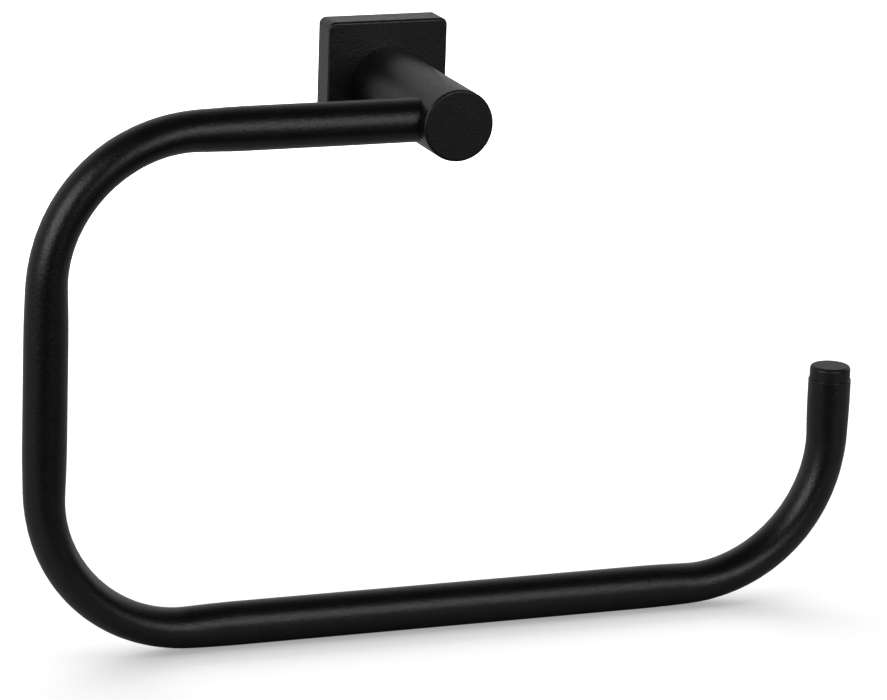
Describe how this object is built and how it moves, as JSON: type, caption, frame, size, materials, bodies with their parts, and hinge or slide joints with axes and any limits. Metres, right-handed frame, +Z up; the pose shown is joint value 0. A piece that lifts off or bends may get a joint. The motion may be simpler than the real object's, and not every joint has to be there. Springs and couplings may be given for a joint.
{
  "type": "towel ring",
  "caption": "Open towel ring of bent round tube, held in a round post on a square wall rosette, with a plugged free end and a hidden wall bracket.",
  "frame": {"origin": "on the post's axis in the wall plane, midway between the bracket's two wall screw holes", "axes": "+Y into the wall, +X to the right seen from the front, +Z up"},
  "size_m": [0.2453, 0.0654, 0.164],
  "materials": {
    "black_coat": "matte",
    "black_plastic": "matte",
    "bracket_zinc": "satin",
    "zinc_plated_steel": "satin"
  },
  "bodies": {
    "root": {"wall_bracket": "bracket_zinc", "rosette": "black_coat", "rosette_grub_screw": "zinc_plated_steel", "post": "black_coat", "post_screw": "zinc_plated_steel", "post_lock_washer": "zinc_plated_steel", "post_dowel_pin": "zinc_plated_steel", "ring_tube": "black_coat", "ring_spigot": "zinc_plated_steel", "ring_set_screw": "zinc_plated_steel", "ring_end_plug": "black_plastic"}
  },
  "joints": []
}
